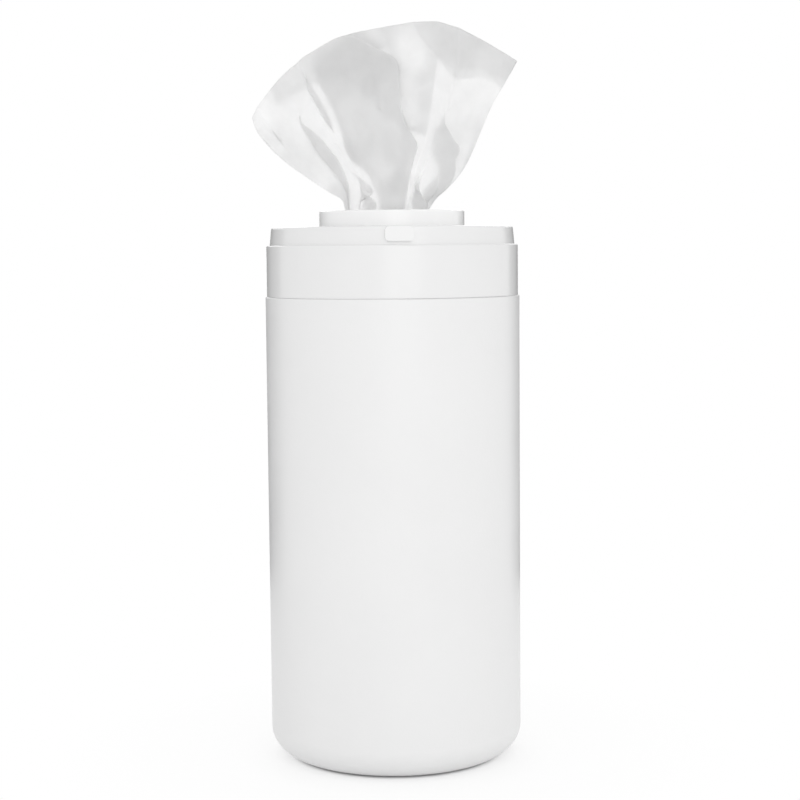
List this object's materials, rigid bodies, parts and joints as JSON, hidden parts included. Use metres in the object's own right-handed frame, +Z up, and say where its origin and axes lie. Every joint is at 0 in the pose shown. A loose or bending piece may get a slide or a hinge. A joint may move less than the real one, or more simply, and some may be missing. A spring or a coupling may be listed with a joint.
{
  "type": "countertop wipes dispenser",
  "caption": "Tall round canister that dispenses wet wipes through a star-slit throat in its snap-fit closure, with a flip lid.",
  "frame": {"origin": "middle of the canister's standing ring, on the surface that it stands on", "axes": "+Z up along the canister's axis, -Y towards the front with the catch lug, +Y towards the hinge and the open lid, +X to the right seen from the front"},
  "size_m": [0.1076, 0.2144, 0.2952],
  "materials": {
    "canister": "satin white blow-moulded polyethylene",
    "closure": "glossy white moulded polypropylene",
    "seal": "soft off-white elastomer",
    "throat": "soft translucent white elastomer",
    "wipe": "thin white nonwoven, slightly translucent and damp"
  },
  "bodies": {
    "base": {"canister": "canister", "wipe_roll": "wipe"},
    "cap": {"closure": "closure", "neck_gasket": "seal", "throat_insert": "throat"},
    "lid": {"flip_lid": "closure", "lid_gasket": "seal"},
    "sheet": {"wipe": "wipe", "next_wipe": "wipe"}
  },
  "joints": [
    {"name": "closure_lift", "type": "slide", "parent": "base", "child": "cap", "axis": [0, 0, 1], "range_m": [0, 0.06]},
    {"name": "lid_hinge", "type": "hinge", "parent": "cap", "child": "lid", "pos_m": [0, 0.053, 0.2065], "axis": [1, 0, 0], "range_deg": [0, 180], "deforming": ["wipe"]},
    {"name": "wipe_pull", "type": "slide", "parent": "cap", "child": "sheet", "axis": [0, 0, -1], "range_m": [-0.117, 0]}
  ]
}
